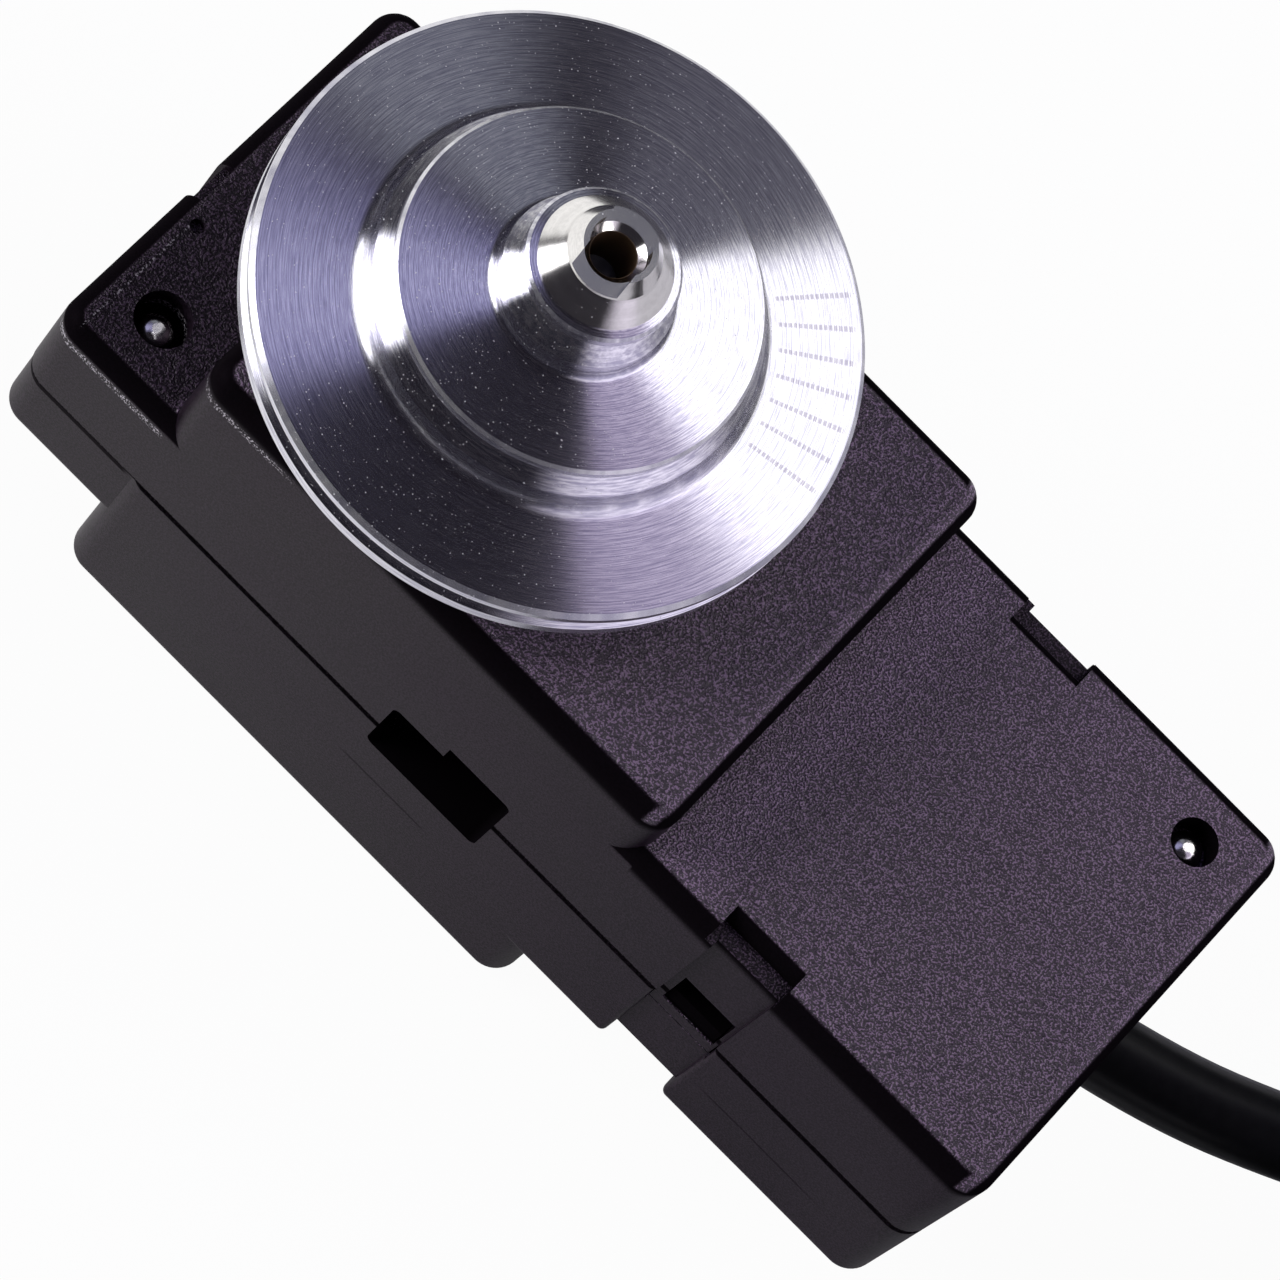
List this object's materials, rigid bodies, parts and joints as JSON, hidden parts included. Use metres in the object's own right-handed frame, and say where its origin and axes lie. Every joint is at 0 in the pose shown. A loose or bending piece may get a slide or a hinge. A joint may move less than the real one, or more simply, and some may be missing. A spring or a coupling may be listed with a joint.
{
  "type": "rotary motion sensor",
  "caption": "Boxy two-shell rotary motion sensor with a stepped thread pulley on a ball-bearing shaft, a rack slot over a pinion, an optical encoder and a coiled lead.",
  "frame": {"origin": "middle of the base rectangle under the part, without its lead, on the back face of the deep block that it lies on", "axes": "+Z along the shaft towards the pulley's nose, +X along the case towards the lead, +Y across the case"},
  "size_m": [0.212, 0.0875, 0.0672],
  "materials": {
    "case_plastic": "fine moulded grain, satin",
    "anodised_aluminium": "turned, clear anodised",
    "nickel_plate": "turned and plated bright",
    "steel": "ground",
    "screw_steel": "zinc plated",
    "bearing_steel": "ground and polished",
    "cage_brass": "pressed",
    "gear_plastic": "moulded, natural",
    "spacer_plastic": "moulded",
    "code_film": "printed film",
    "board": "solder resist",
    "component_plastic": "moulded",
    "header_plastic": "moulded, natural",
    "core_insulation": "smooth",
    "cable_jacket": "satin",
    "grommet_rubber": "matt",
    "tie_plastic": "smooth",
    "plug_plastic": "fine grain",
    "plug_steel": "nickel plated",
    "tongue_plastic": "moulded"
  },
  "bodies": {
    "case": {"front_shell": "case_plastic", "back_shell": "case_plastic", "case_screws": "screw_steel", "rear_bearing_outer": "bearing_steel", "front_bearing_outer": "bearing_steel", "bearing_retainer": "steel", "retainer_screws": "screw_steel", "circuit_board": "board", "board_screws": "screw_steel", "encoder_reader": "component_plastic", "controller_chip": "component_plastic", "cable_header": "header_plastic", "header_plug": "header_plastic", "core_wires": "core_insulation", "cable_grommet": "grommet_rubber", "cable_stop": "grommet_rubber", "cable_inner": "cable_jacket", "cable_tube": "cable_jacket", "cable_coil": "cable_jacket", "cable_tie": "tie_plastic", "cable_tail": "cable_jacket", "plug_overmould": "plug_plastic", "plug_shell": "plug_steel", "plug_tongue": "tongue_plastic"},
    "spindle": {"shaft": "steel", "rear_clip": "steel", "front_clip": "steel", "pinion_spacer": "spacer_plastic", "pinion": "gear_plastic", "pinion_grub_screw": "steel", "encoder_hub": "spacer_plastic", "encoder_disc": "code_film", "encoder_clamp": "spacer_plastic", "upper_spacer": "spacer_plastic", "pulley_washer": "steel", "pulley": "anodised_aluminium", "nose_cap": "nickel_plate", "rear_bearing_inner": "bearing_steel", "front_bearing_inner": "bearing_steel"},
    "rear_balls": {"rear_bearing_balls": "bearing_steel", "rear_bearing_cage": "cage_brass"},
    "front_balls": {"front_bearing_balls": "bearing_steel", "front_bearing_cage": "cage_brass"}
  },
  "joints": [
    {"name": "spindle_spin", "type": "hinge", "parent": "case", "child": "spindle", "pos_m": [-0.022, 0, 0], "axis": [0, 0, 1], "continuous": true},
    {"name": "rear_balls_spin", "type": "hinge", "parent": "case", "child": "rear_balls", "pos_m": [-0.022, 0, 0], "axis": [0, 0, 1], "continuous": true},
    {"name": "front_balls_spin", "type": "hinge", "parent": "case", "child": "front_balls", "pos_m": [-0.022, 0, 0], "axis": [0, 0, 1], "continuous": true}
  ],
  "couplings": [
    {"joint": "rear_balls_spin", "follows": "spindle_spin", "ratio": 0.4057},
    {"joint": "front_balls_spin", "follows": "spindle_spin", "ratio": 0.4057}
  ]
}
